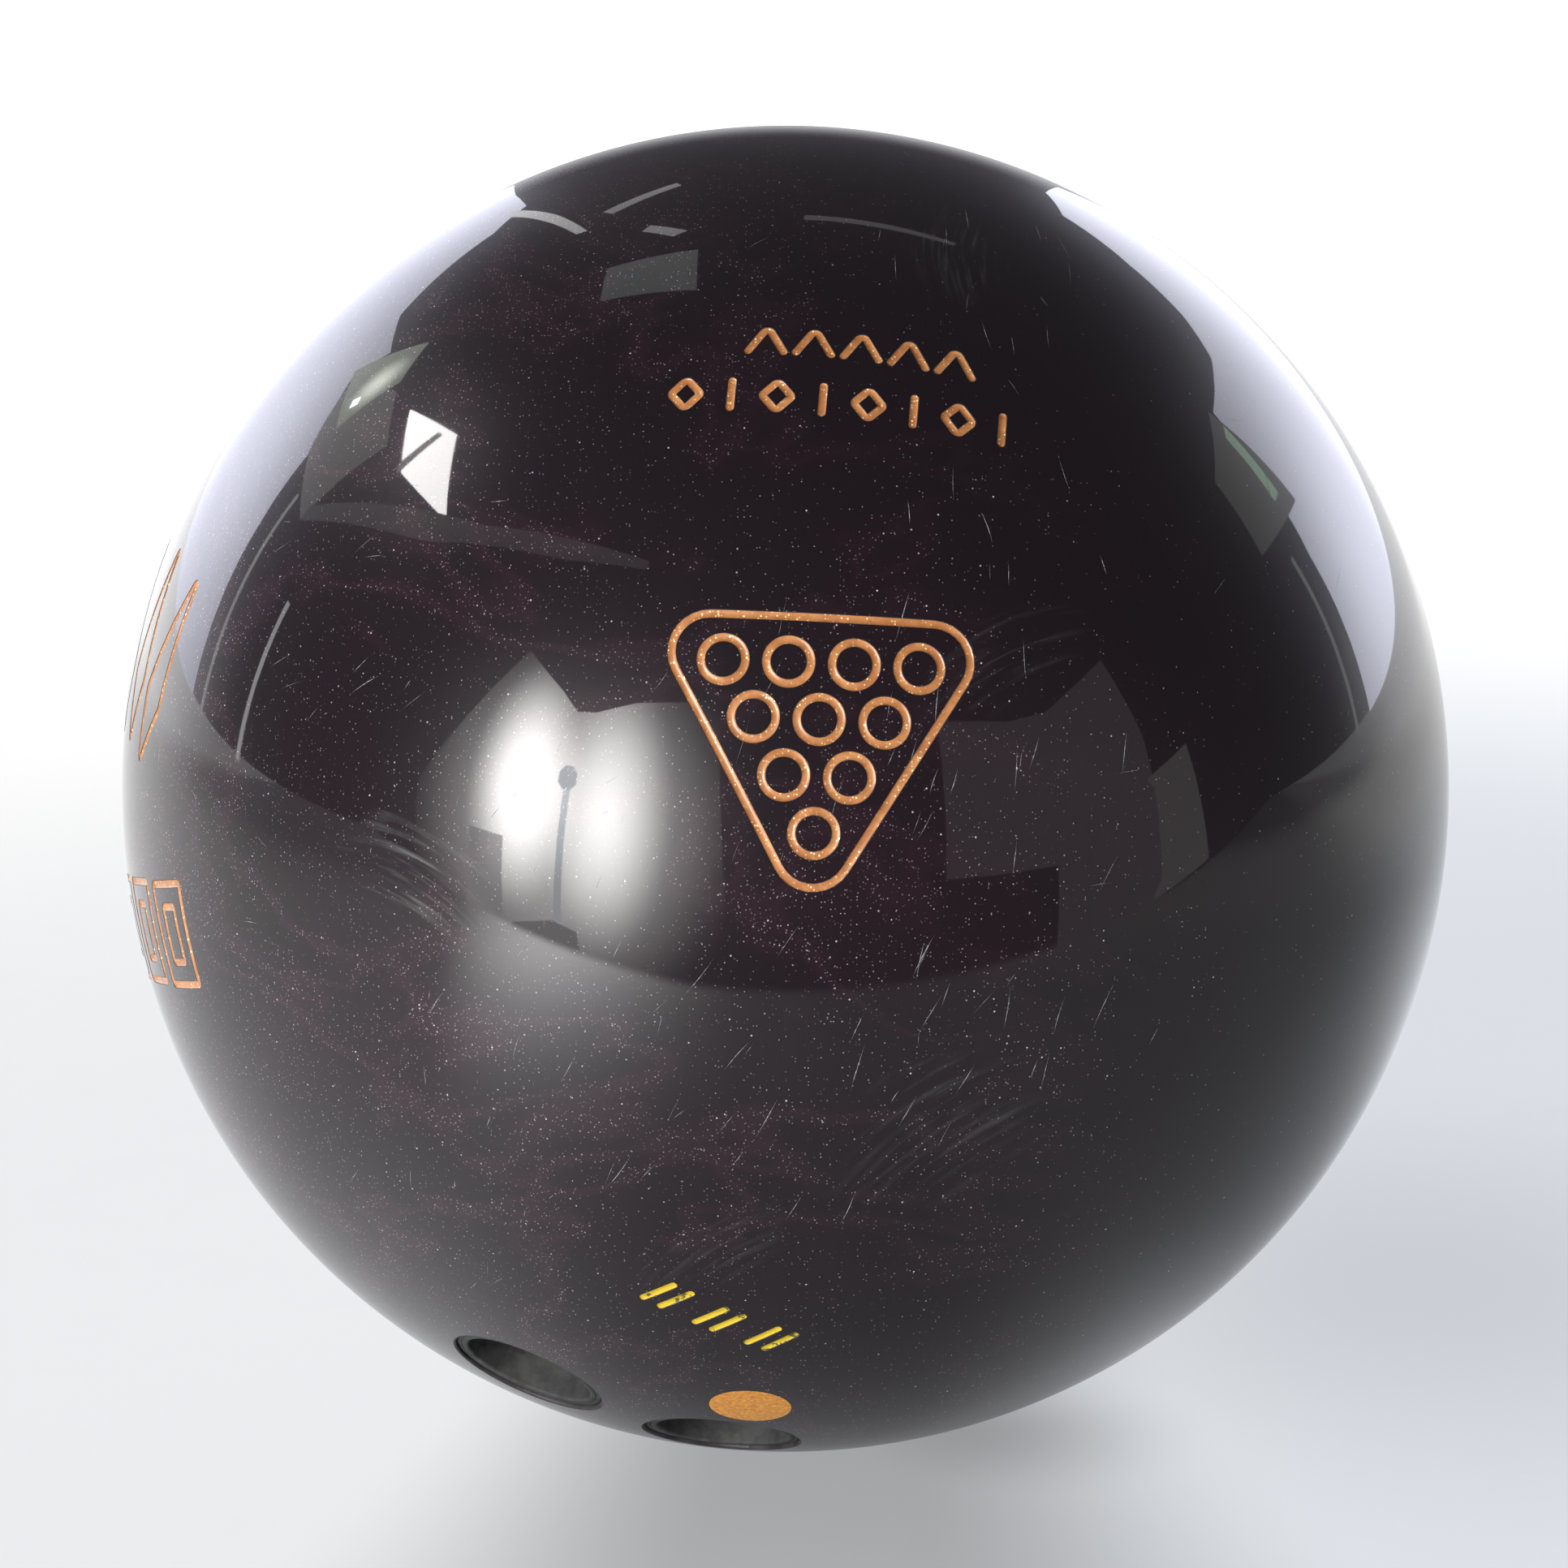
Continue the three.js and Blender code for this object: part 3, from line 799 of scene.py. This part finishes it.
def coverstock_material():
    """Near-black resin with swirls of plum pearl and mica, polished, with patches of rub marks; painted
    light makes the pearl and mica stronger towards the front left.
    """
    g = Graph("coverstock pearl")
    warp = g.noise(g.place, 14.0, 1.0, output="Color")
    warp = g.vector("SCALE", g.vector("SUBTRACT", warp, (0.5, 0.5, 0.5)), Scale=0.055)
    drift = g.vector("ADD", g.place, warp)
    layered = g.vector("MULTIPLY", drift, (1.0, 1.0, 1.9))
    swirl = g.noise(layered, 20.0, 3.0, 0.62)
    veins = g.band(g.math("ABSOLUTE", g.minus(swirl, 0.5)), 0.0, 0.05, 1.0, 0.0)
    clouds = g.band(g.noise(layered, 8.0, 2.0), 0.44, 0.66)
    # The pearl and its mica are painted stronger on the side towards the light at the front left, where the
    # flakes catch it: painted light over the real swirls.
    towards_light = g.vector("DOT_PRODUCT", g.place, tuple(direction(-62, -6) / RADIUS))
    lit_side = g.band(towards_light, -0.25, 0.8, 0.05, 1.0)
    pearl = g.times_plus(clouds, 0.42, g.times_plus(veins, 0.62, 0.05))
    pearl = g.times(pearl, lit_side, clamp=True)
    body = g.mix(pearl, (0.0084, 0.0051, 0.0072), (0.0222, 0.0088, 0.0142))
    fine_share = g.times_plus(pearl, 0.95, g.times(lit_side, 0.22))
    fine, hue = flecks(g, 0.125 * MM, 0.46 * MM, fine_share, 0.12, 1.6)
    coarse_share = g.times_plus(pearl, 0.65, g.times(lit_side, 0.2))
    coarse, tint = flecks(g, 0.17 * MM, 1.0 * MM, coarse_share, 0.12, 2.4)
    # The mica specks: pale flakes whose brightness is partly their own colour and partly painted glints.
    sparkle = g.math("MAXIMUM", g.times(fine, 0.6), coarse)
    flake = g.mix(tint, (0.58, 0.62, 0.74), (0.78, 0.56, 0.66))
    flake = g.mix(hue, flake, (0.74, 0.70, 0.74))
    colour = g.mix(g.times(sparkle, 0.8, clamp=True), body, flake)
    edge = g.minus(g.noise(g.place, 170.0, 2.0), 0.5)
    rubbed = 0.0
    for strength, *place in SCUFFS:
        rubbed = g.math("MAXIMUM", rubbed, g.times(scuff(g, edge, *place), strength))
    colour = g.mix(g.times(rubbed, 0.13), colour, (0.45, 0.50, 0.47))
    smudge = g.noise(g.vector("MULTIPLY", g.place, (1.0, 1.0, 1.6)), 34.0, 3.0, 0.6)
    haze = g.times_plus(g.band(smudge, 0.42, 0.75), 0.02, 0.022)
    haze = g.times_plus(rubbed, 0.2, haze)
    slant = g.node("LayerWeight").outputs["Facing"]
    haze = g.times(haze, g.band(slant, 0.7, 0.95, 1.0, 0.05))
    normal = g.bump(g.noise(g.place, 240.0, 1.0), 0.004 * MM, 0.5)
    return g.finish(Base_Color=colour, Roughness=0.34, Specular_IOR_Level=0.12, IOR=1.5,
                    Coat_Weight=0.95, Coat_Roughness=haze, Coat_IOR=1.5, Coat_Normal=normal)


def bare_material():
    """The coverstock's resin where a drill or an engraver has cut it: grey, and dull with tool marks."""
    g = Graph("bare coverstock")
    tone = g.noise(g.place, 300.0, 3.0, 0.6)
    rings = g.noise(g.vector("MULTIPLY", g.place, (1.0, 1.0, 4.0)), 1800.0, 2.0)
    colour = g.mix(g.band(tone, 0.3, 0.7), (0.020, 0.018, 0.020), (0.045, 0.041, 0.043))
    normal = g.bump(rings, 0.03 * MM, 0.5)
    return g.finish(Base_Color=colour, Roughness=g.blend(rings, 0.42, 0.65),
                    Specular_IOR_Level=0.35, Normal=normal)


def scratch_material():
    """The inside of a scratch: crushed resin that scatters light."""
    g = Graph("scratched coverstock")
    broken = g.noise(g.place, 1900.0, 3.0, 0.7)
    colour = g.mix(g.band(broken, 0.35, 0.65), (0.10, 0.105, 0.11), (0.40, 0.42, 0.42))
    normal = g.bump(broken, 0.03 * MM, 0.6)
    return g.finish(Base_Color=colour, Roughness=g.blend(broken, 0.45, 0.75), Normal=normal)


def copper_material():
    g = Graph("copper engraving paint")
    tone = g.noise(g.place, 420.0, 3.0, 0.6)
    grime = g.band(g.noise(g.place, 1500.0, 2.0), 0.6, 0.75)
    colour = g.mix(g.band(tone, 0.3, 0.7), (0.385, 0.147, 0.046), (0.53, 0.228, 0.077))
    colour = g.mix(g.times(grime, 0.4), colour, (0.17, 0.06, 0.022))
    # Gold glitter in the paint: real specks, with painted glints on them, a pale gold colour and a glow of
    # their own.
    glitter_and_glints, tint = flecks(g, 0.2 * MM, 0.4 * MM, 0.26, 0.3, 1.5)
    glint = g.mix(tint, (1.0, 0.66, 0.20), (1.0, 0.92, 0.60))
    colour = g.mix(glitter_and_glints, colour, glint)
    normal = g.bump(g.noise(g.place, 2600.0, 2.0), 0.02 * MM, 0.5)
    return g.finish(Base_Color=colour, Roughness=g.blend(tone, 0.3, 0.5), Metallic=g.times(glitter_and_glints, 0.4),
                    Coat_Weight=0.4, Coat_Roughness=0.12, Normal=normal,
                    Emission_Color=glint, Emission_Strength=g.times(g.math("POWER", glitter_and_glints, 3.0), 0.6))


def yellow_material():
    g = Graph("worn yellow paint")
    flake = g.noise(g.place, 900.0, 3.0, 0.7)
    patch = g.noise(g.place, 230.0, 2.0)
    bare = g.band(g.times_plus(patch, 0.9, flake), 1.03, 1.11)
    fresh = g.mix(g.band(patch, 0.35, 0.65), (0.61, 0.435, 0.03), (0.54, 0.39, 0.02))
    colour = g.mix(bare, fresh, (0.07, 0.08, 0.035))
    normal = g.bump(g.times(bare, -1.0), 0.06 * MM, 0.6)
    return g.finish(Base_Color=colour, Roughness=g.blend(bare, 0.5, 0.4),
                    Specular_IOR_Level=0.3, Normal=normal)


def pin_material():
    g = Graph("copper pearl resin")
    grain = g.noise(g.place, 1700.0, 3.0, 0.7)
    clouds = g.noise(g.place, 300.0, 2.0)
    colour = g.mix(g.band(grain, 0.35, 0.68), (0.50, 0.185, 0.021), (0.80, 0.37, 0.053))
    colour = g.mix(g.times(g.band(clouds, 0.45, 0.7), 0.35), colour, (0.60, 0.22, 0.05))
    # Bright specks in the resin: partly their own pale colour, partly painted glints.
    glint, _ = flecks(g, 0.1 * MM, 0.3 * MM, 0.3, 0.1)
    colour = g.mix(g.times(glint, 0.6), colour, (0.90, 0.56, 0.20))
    return g.finish(Base_Color=colour, Roughness=0.35, Specular_IOR_Level=0.2,
                    Coat_Weight=0.5, Coat_Roughness=0.09)


def vinyl_material():
    g = Graph("moulded vinyl")
    mottle = g.noise(g.place, 380.0, 3.0, 0.6)
    pores = g.noise(g.place, 2400.0, 2.0, 0.7)
    colour = g.mix(g.band(mottle, 0.3, 0.7), (0.024, 0.025, 0.026), (0.048, 0.049, 0.048))
    bloom = g.band(g.noise(g.place, 140.0, 3.0, 0.7), 0.5, 0.72)
    colour = g.mix(g.times(bloom, 0.35), colour, (0.11, 0.11, 0.10))
    normal = g.bump(pores, 0.06 * MM, 0.6)
    return g.finish(Base_Color=colour, Roughness=g.blend(mottle, 0.52, 0.75),
                    Specular_IOR_Level=0.3, Normal=normal)


def urethane_material():
    g = Graph("sanded urethane")
    tone = g.noise(g.place, 210.0, 4.0, 0.6)
    sanding = g.noise(g.vector("MULTIPLY", g.place, (1.0, 6.0, 1.0)), 700.0, 2.0)
    colour = g.mix(g.band(tone, 0.3, 0.7), (0.014, 0.014, 0.015), (0.028, 0.027, 0.027))
    normal = g.bump(sanding, 0.02 * MM, 0.4)
    return g.finish(Base_Color=colour, Roughness=g.blend(sanding, 0.22, 0.42), Normal=normal)


def cast_material(name, dark, light, grain_scale):
    """A cast resin core: mottled, with pits and a few air bubbles."""
    g = Graph(name)
    mottle = g.noise(g.place, 60.0, 4.0, 0.6)
    grain = g.noise(g.place, grain_scale, 3.0, 0.7)
    distance, _ = g.cells(g.place, 240.0)
    pits = g.band(distance, 0.1, 0.2, 1.0, 0.0)
    colour = g.mix(g.band(g.times_plus(grain, 0.5, mottle), 0.5, 1.0), dark, light)
    # The pits are painted darker: painted shade in the hollows.
    colour = g.mix(g.times(pits, 0.6), colour, tuple(0.4 * c for c in dark))
    normal = g.bump(g.times_plus(pits, -1.0, grain), 0.3 * MM, 0.5)
    return g.finish(Base_Color=colour, Roughness=g.blend(mottle, 0.55, 0.8), Normal=normal)


# ---------------------------------------------------------------- studio

ROOM_SIZE = 8.0  # how far off the room's bright shapes are; the softboxes are behind them
SOFTBOX_DISTANCE = 1.2 * ROOM_SIZE
CARD_STEP = 0.02  # how much nearer each next card is, as a share, so that no two of them meet
FLOOR_REACH = 12.0
FOOT_GAP = 0.02 * MM  # between the floor and the ball's foot

# The lights and the bright shapes that the polish mirrors: strength, colour, corners, each an azimuth from
# the front towards +X and an elevation, in degrees, then any glows on them: strength, azimuth, elevation,
# half-width and half-height. A shape without a strength of its own is only its glows, and is see-through.
LILAC = (0.84, 0.86, 1.0)
DAYLIGHT = (1.0, 0.98, 0.97)
WHITE = (1.0, 1.0, 1.0)
SOFTBOXES = {
    "softbox_left": (2.6, LILAC, [(-172.5, 2), (-167.5, 13), (-163.5, 22), (-158, 26), (-145, 27),
        (-136, 31), (-136, 26), (-127, 24), (-125, 16), (-123, -2), (-173, -2)],
        (1.1, -133, 15, 24, 18)),
    "softbox_right": (2.8, LILAC, [(171.5, 4), (167.5, 14), (162, 22), (154, 24), (147, 24),
        (140, 25), (126, 30), (122, 24), (119, 15), (119, -2), (172, -2)], (1.2, 128, 8, 22, 20)),
    "lamp": (0, DAYLIGHT, [(-50, 31), (-57, 20), (-64, 8), (-60, -26), (-8, -26), (-12, 29),
        (-19, 28), (-27, 27), (-34, 24.5), (-37.5, 24), (-41, 26.5)], (26, -44.5, 11.5, 11, 20),
        (16, -29.5, 9, 12, 24), (9, -36, 8, 31, 34)),
}
ROOM_SHAPES = {
    "wall_right": (0.44, (1.0, 0.9, 0.96), [(27, 24), (40, 22), (47, 22), (61, 26.5), (64, 14),
        (64, -14), (45, -14), (45, -1), (26, -1)]),
    "panel_light": (0.68, (1.0, 0.97, 0.96), [(62, 8), (72, 11), (73.5, -5), (62, -9)]),
    "wall_line": (0.4, WHITE, [(49.7, 13), (51, 13), (51, -13), (49.7, -13)]),
    "lamp_post": (5, (0.86, 0.95, 1.0), [(-37.3, 13), (-36.2, 13), (-36.6, -10), (-37.9, -10)],
        (7, -37, 11, 5, 16)),
    "lamp_knob": (9, (0.84, 0.94, 1.0), [(-38.5, 14.5), (-37.6, 15.6), (-36.2, 15.6), (-35.3, 14.5),
        (-35.3, 12.9), (-36.2, 11.9), (-37.6, 11.9), (-38.5, 12.9)]),
    "lamp_foot": (1.6, WHITE, [(-45, -9.5), (-38, -8.5), (-34, -10), (-33, -16), (-46, -16)]),
    "lamp_box": (2.8, WHITE, [(-53, 3.7), (-47, 3.2), (-46.4, -12), (-53, -12)],
        (6, -45, 6, 9, 14)),
    "window": (18, DAYLIGHT, [(-117, 39), (-102, 46), (-84, 40), (-103, 37.5)]),
    "window_bar": (1.5, WHITE, [(-105.5, 37), (-103.5, 37), (-104.5, 44), (-106, 43.5)]),
    "screen_grey": (0.8, (1.0, 1.0, 0.95), [(-134, 26), (-124, 36), (-112, 36), (-115, 22),
        (-127, 23)]),
    "screen_green": (1.6, (0.94, 1.0, 0.86), [(-137, 26), (-133, 37.5), (-126, 36), (-126, 27)],
        (5.4, -129.5, 32, 4, 5)),
    "screen_spot": (26, WHITE, [(-129.6, 28.6), (-129, 29.8), (-127.9, 29.6), (-128.4, 28.4)]),
    "panel_right": (0.5, (1.0, 1.0, 0.95), [(125, 31), (125, 18), (107, 22), (110, 31)]),
    "panel_green": (2, (0.7, 1.0, 0.75), [(124.5, 29), (122, 29), (119.5, 21.5), (122, 21)]),
    "tube_left": (3.2, WHITE, [(-105.4, -1), (-105.4, 17), (-104.3, 17), (-104.3, -1)]),
    "edge_left": (1.6, WHITE, [(-119, -1), (-120.5, 22), (-119.6, 22), (-118, -1)]),
    "edge_right": (0.9, WHITE, [(114, -1), (114, 18), (113, 18), (113, -1)]),
    "rail": (0.5, WHITE, [(-115, 22), (-85, 36), (-52, 45.4), (-33, 48), (-33, 49.5), (-52, 47),
        (-85, 38), (-115, 24)]),
    "skylight": (0.8, (0.9, 1.0, 0.98), [(-147, 55), (-162, 60), (-150, 69.5), (-135, 60)]),
    "beam_1": (1.2, WHITE, [(-161, 39), (-161, 41), (-170, 38), (-170, 36.5)]),
    "beam_2": (2.2, WHITE, [(-162.6, 22), (-159.8, 33), (-156.3, 42.8), (-155.2, 42.2),
        (-158.6, 32.6), (-161.6, 22)]),
    "beam_3": (1.6, WHITE, [(-161, 49), (-164, 54), (-161, 54.5), (-159, 50)]),
    "beam_4": (0.6, WHITE, [(177, 53), (165, 52), (154, 50), (154, 51), (165, 53.5), (177, 54.5)]),
}


def emitter(name, colour, strength, glows, lights_room):
    """An even glow, with brighter ones on it that fade out round their centres."""
    g = Graph(name)
    azimuth, elevation = g.bearings()
    total = strength
    for glow, *place in glows:
        total = g.times_plus(g.halo(azimuth, elevation, *place), glow, total)
    light = g.node("Emission", colour, total)
    if not strength:
        light = g.node("AddShader", light.outputs[0], g.node("BsdfTransparent").outputs[0])
    g.show(light)
    if not lights_room:
        g.owner.cycles.emission_sampling = "NONE"
    return g.owner


def card(name, strength, colour, corners, glows, distance, lights_room):
    """A glowing card, straight-edged as seen from the ball, that shows only in reflections."""
    middle = sum((direction(*corner) for corner in corners), Vector()).normalized() * distance
    points = [direction(*corner) * distance for corner in corners]
    fan = [[i, (i + 1) % len(points), len(points)] for i in range(len(points))]
    piece = new_object(name, points + [middle], fan)
    piece.data.materials.append(emitter(name, colour, strength, glows, lights_room))
    piece.visible_camera = False
    piece.visible_diffuse = lights_room


def world():
    """White where the camera looks. For reflections: a dim room, with a paler wall low behind the ball."""
    g = Graph("studio", world=True)
    bpy.context.scene.world = g.owner
    _, y, z = g.split(g.place)
    wall = g.times(g.band(z, 0.26, 0.0), g.band(y, 0.3, 0.6))
    room = g.mix(wall, (0.085, 0.080, 0.092), (0.62, 0.62, 0.65))
    seen = g.mix(g.node("LightPath").outputs["Is Camera Ray"], room, WHITE)
    g.show(g.node("Background", seen), "OutputWorld")


# Painted shade on the paper, and painted light on it where the polish mirrors it, in metres: how much,
# centre x and y, half-width and half-length.
PAPER_SHADE = ((0.17, 0.12, 0.05, 0.12, 0.14), (0.17, 0.042, -0.013, 0.032, 0.03))
PAPER_LIGHT = (
    (0.75, 0.15, 0.10, 0.24, 0.21),
    (0.35, 0.07, -0.04, 0.06, 0.06),
    (0.3, -0.11, -0.09, 0.10, 0.08),
)
PAPER_GLOW = 0.86  # the share of the paper's light that is its own, so that it stays even


def paper_tone(g, x, y, reach):
    """The paper's colour, with painted shade: darker and bluer on the right, white far off, and darker in a
    painted soft shadow of the ball.
    """
    right = g.band(x, -0.02, 0.11)
    tone = g.mix(right, (0.91, 0.92, 0.94), (0.80, 0.835, 0.885))
    fade_start = g.times_plus(right, 0.2, 0.18)
    tone = g.mix(g.band(g.minus(reach, fade_start), 0.0, 0.32), tone, WHITE)
    half_width = g.times_plus(g.math("MINIMUM", y, 0.0), -0.33, 0.056)
    across = g.over(g.math("ABSOLUTE", g.minus(x, 0.005)), half_width)
    depth = g.times(g.band(y, -0.30, -0.02, 0.12, 0.54), g.band(y, 0.03, 0.2, 1.0, 0.0))
    shadow = g.times(g.band(across, 0.2, 1.15, 1.0, 0.0), depth)
    for strength, *place in PAPER_SHADE:
        shadow = g.times_plus(g.halo(x, y, *place), strength, shadow)
    tone = g.mix(shadow, tone, (0.0, 0.0, 0.0))
    fibres = g.noise(g.place, 60.0, 4.0, 0.6)
    return g.mix(g.times(g.band(fibres, 0.5, 0.8), 0.03), tone, (0.6, 0.6, 0.62))


def mirrored_paper(g, x, y, reach):
    """How bright the paper is in the ball's polish: dimmer on the right and at its side edges, brighter a
    little to each side of the ball, far behind it and under the lamp."""
    in_front = g.band(x, -0.26, 0.12, 0.98, 0.44)
    behind = g.band(x, -0.2, 0.3, 1.2, 0.92)
    near = g.blend(g.band(y, 0.0, 0.3), in_front, behind)
    beside = 0.0
    for strength, *place in PAPER_LIGHT:
        beside = g.times_plus(g.halo(x, y, *place), strength, beside)
    near = g.times_plus(near, beside, near)
    off_centre = g.math("ABSOLUTE", g.minus(x, 0.25))
    slope = g.over(y, g.math("MAXIMUM", g.math("ABSOLUTE", x), 0.01))
    edges = g.times(g.band(off_centre, 0.65, 1.6, 0.0, 0.62), g.band(slope, 0.3, 0.8, 1.0, 0.0))
    near = g.times(near, g.minus(1.0, edges))
    far = g.times(g.band(y, 0.5, 0.95, 0.0, 0.75), g.band(x, 0.2, 0.6, 1.0, 0.4))
    bearing = g.over(x, g.math("MAXIMUM", g.times(y, -1.0), 0.01))
    lit = g.halo(bearing, 0.0, -0.72, 0.0, 0.64, 1.0)
    lamp = g.times(lit, g.band(reach, 0.12, 0.6, 0.0, 8.0))
    return g.plus(g.plus(near, far), lamp)


def floor_material():
    """Pale paper under even light. The ball's polish sees it from the other side, where it is dimmer and
    ends a short way in front of the ball. From underneath it can be looked through."""
    g = Graph("pale floor")
    x, y, _ = g.split(g.place)
    reach = g.vector("LENGTH", g.combine(x, y))
    mirrored = g.node("LightPath").outputs["Is Glossy Ray"]
    tone = paper_tone(g, x, y, reach)
    strength = g.blend(mirrored, g.band(reach, 0.3, 0.7, 1.0, 1.2), mirrored_paper(g, x, y, reach))
    sheet = g.either(PAPER_GLOW, g.node("BsdfDiffuse", tone), g.node("Emission", tone, strength))
    front_edge = g.math("MINIMUM", g.times_plus(x, 0.3, -0.375), -0.405)
    beyond = g.times(g.band(g.minus(front_edge, y), 0.0, 0.05), mirrored)
    underneath = g.node("NewGeometry").outputs["Backfacing"]
    g.show(g.either(g.math("MAXIMUM", beyond, underneath), sheet, g.node("BsdfTransparent")))
    g.owner.cycles.emission_sampling = "NONE"
    return g.owner


def studio():
    world()
    floor = new_object("floor", rectangle(FLOOR_REACH, FLOOR_REACH, FLOOR_Z - FOOT_GAP), [[0, 1, 2, 3]])
    floor.data.materials.append(floor_material())
    for shapes, farthest in ((SOFTBOXES, SOFTBOX_DISTANCE), (ROOM_SHAPES, ROOM_SIZE)):
        for step, (name, (strength, colour, corners, *glows)) in enumerate(shapes.items()):
            distance = farthest * (1 - CARD_STEP * step)
            card(name, strength, colour, corners, glows, distance, shapes is SOFTBOXES)


def camera():
    lens = bpy.data.cameras.new("camera")
    lens.sensor_width = SENSOR_WIDTH
    lens.lens = FOCAL_LENGTH
    lens.clip_start = 0.01
    shot = add_object("camera", lens)
    back = direction(0, CAMERA_RISE)
    shot.location = CAMERA_AIM + back * CAMERA_DISTANCE
    shot.rotation_euler = (-back).to_track_quat("-Z", "Y").to_euler()
    bpy.context.scene.camera = shot


# ---------------------------------------------------------------- assembly

pin_axis = pin_direction()
ornaments = {
    "emblem_paint": emblem_marks(),
    "arrow_paint": arrow_marks(),
    "dash_paint": dash_marks(),
    "side_paint": side_marks(),
    "owner_paint": owner_marks(),
}
copper, yellow, vinyl = copper_material(), yellow_material(), vinyl_material()
all_marks = [mark for marks in ornaments.values() for mark in marks]
finishes = (coverstock_material(), bare_material(), scratch_material())
settle(make_shell(pin_axis, all_marks, finishes), None, "coverstock", "coverstock")
settle(make_pin(pin_axis), pin_material(), "pin_resin", "locator_pin")
for finger, hole in (("middle", MIDDLE_HOLE), ("ring", RING_HOLE)):
    insert = make_insert(f"{finger}_finger_grip", hole)
    settle(insert, vinyl, "insert_vinyl", f"{finger}_finger_insert")
settle(make_slug(), urethane_material(), "slug_urethane", "thumb_slug")
for name, marks in ornaments.items():
    paint, slot = (yellow, "yellow_paint") if name == "owner_paint" else (copper, "copper_paint")
    settle(make_paint(name, marks), paint, slot, *[mark.node for mark in marks])
for node, material in (
    ("filler_core", cast_material("cast filler", (0.42, 0.38, 0.31), (0.62, 0.58, 0.50), 500.0)),
    ("weight_block", cast_material("dense core", (0.20, 0.030, 0.020), (0.36, 0.07, 0.045), 800.0)),
):
    mesh = frame["nodes"][node].data
    mesh.materials.clear()
    mesh.materials.append(material)

studio()
camera()
bpy.context.scene.view_settings.view_transform = "Standard"
